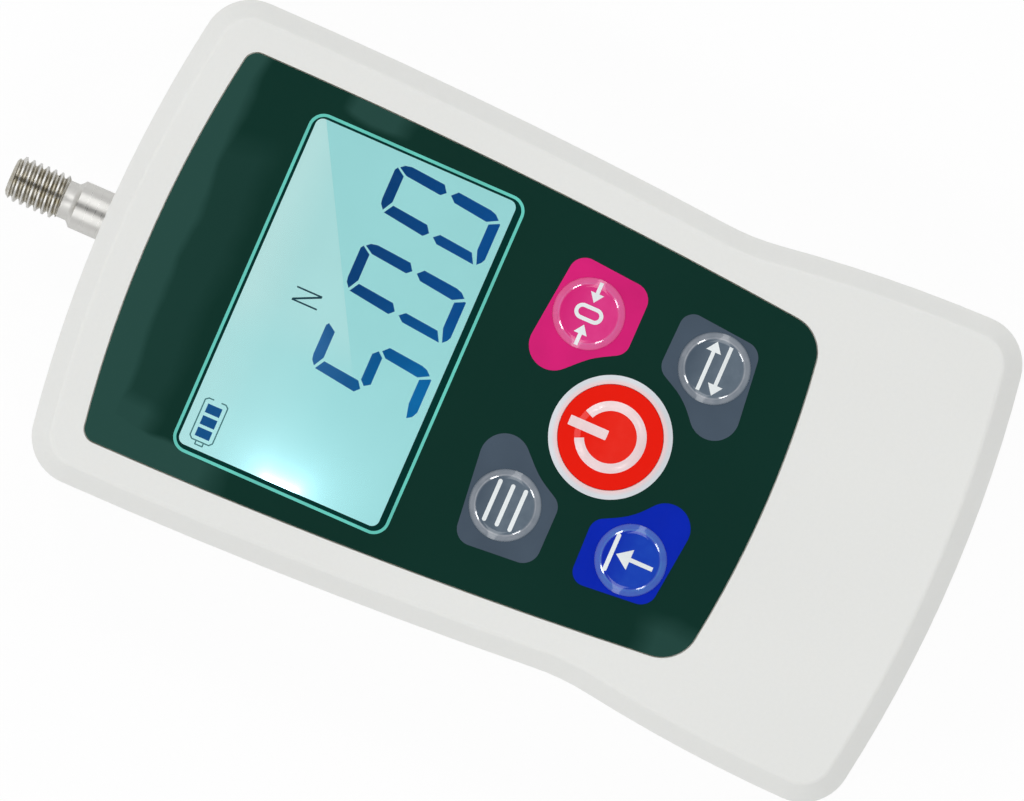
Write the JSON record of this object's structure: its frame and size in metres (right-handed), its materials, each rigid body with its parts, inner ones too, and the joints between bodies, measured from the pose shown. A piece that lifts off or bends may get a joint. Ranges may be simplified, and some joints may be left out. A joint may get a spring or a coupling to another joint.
{
  "type": "force gauge",
  "caption": "Handheld digital force gauge: waisted case with a lit display and press keys, and a threaded sensing stud at its top end.",
  "frame": {"origin": "centre of the rectangle of four tapped mounting holes, on the flat back of the case", "axes": "+Y along the sensing shaft out of its threaded stud, +Z out of the display face, +X to the right of the display"},
  "size_m": [0.0662, 0.1301, 0.0367],
  "materials": {
    "case_plastic": "fine moulded texture, pale warm grey",
    "zinc_steel": "bright zinc plate",
    "black_steel": "black oxide",
    "stainless_steel": "turned and polished stainless steel",
    "overlay_film": "glossy dark green printed film",
    "clear_acrylic": "clear polished acrylic",
    "grey_key_film": "glossy embossed film, slate grey",
    "magenta_key_film": "glossy embossed film, magenta",
    "blue_key_film": "glossy embossed film, blue",
    "red_key_film": "glossy embossed film, red",
    "black_plastic": "black moulded plastic",
    "white_plastic": "white moulded nylon",
    "backlight_acrylic": "milky light guide",
    "display_glass": "liquid crystal glass, pale cyan when lit",
    "elastomer": "layered conductive rubber",
    "foam": "closed cell foam",
    "circuit_board": "green solder mask",
    "component_can": "small metal cans and chips",
    "aluminium_alloy": "milled aluminium",
    "gauge_foil": "etched foil on amber backing",
    "brass": "turned brass",
    "battery_sleeve": "shrink sleeve",
    "grey_cable": "soft cable jacket",
    "red_cable": "soft insulation"
  },
  "bodies": {
    "body": {"front_shell": "case_plastic", "rear_shell": "case_plastic", "case_screws": "zinc_steel", "chassis_screws": "zinc_steel", "bracket_screws": "zinc_steel", "board_screws": "zinc_steel", "load_cell_bolt": "black_steel", "lock_washer": "zinc_steel", "front_overlay": "overlay_film", "display_window": "clear_acrylic", "key_switches": "black_plastic", "lcd_frame": "black_plastic", "backlight_panel": "backlight_acrylic", "lcd_rear_glass": "display_glass", "lcd_front_glass": "display_glass", "elastomer_strips": "elastomer", "window_gasket": "foam", "battery_pad": "foam", "main_board": "circuit_board", "microcontroller": "black_plastic", "signal_amplifier": "black_plastic", "board_components": "component_can", "buzzer": "black_plastic", "charge_socket": "zinc_steel", "load_cell": "aluminium_alloy", "strain_gauges": "gauge_foil", "cell_bracket": "aluminium_alloy", "chassis_plate": "aluminium_alloy", "mounting_posts": "brass", "battery_tray": "black_plastic", "battery_cells": "battery_sleeve", "battery_links": "zinc_steel", "sensor_connector": "white_plastic", "battery_connector": "white_plastic", "sensor_lead": "grey_cable", "battery_lead": "red_cable"},
    "shaft": {"sensing_shaft": "stainless_steel", "lock_nut": "stainless_steel"},
    "set_key": {"set_dome": "grey_key_film", "set_stem": "black_plastic"},
    "zero_key": {"zero_dome": "magenta_key_film", "zero_stem": "black_plastic"},
    "peak_key": {"peak_dome": "blue_key_film", "peak_stem": "black_plastic"},
    "unit_key": {"unit_dome": "grey_key_film", "unit_stem": "black_plastic"},
    "power_key": {"power_dome": "red_key_film", "power_stem": "black_plastic"}
  },
  "joints": [
    {"name": "shaft_travel", "type": "slide", "parent": "body", "child": "shaft", "axis": [0, 1, 0], "range_m": [-0.00025, 0.00025], "stiffness_N_per_m": 2000000, "deforming": ["load_cell"]},
    {"name": "set_press", "type": "slide", "parent": "body", "child": "set_key", "axis": [0, 0, -1], "range_m": [0, 0.0003], "stiffness_N_per_m": 6000},
    {"name": "zero_press", "type": "slide", "parent": "body", "child": "zero_key", "axis": [0, 0, -1], "range_m": [0, 0.0003], "stiffness_N_per_m": 6000},
    {"name": "peak_press", "type": "slide", "parent": "body", "child": "peak_key", "axis": [0, 0, -1], "range_m": [0, 0.0003], "stiffness_N_per_m": 6000},
    {"name": "unit_press", "type": "slide", "parent": "body", "child": "unit_key", "axis": [0, 0, -1], "range_m": [0, 0.0003], "stiffness_N_per_m": 6000},
    {"name": "power_press", "type": "slide", "parent": "body", "child": "power_key", "axis": [0, 0, -1], "range_m": [0, 0.0003], "stiffness_N_per_m": 6000}
  ]
}
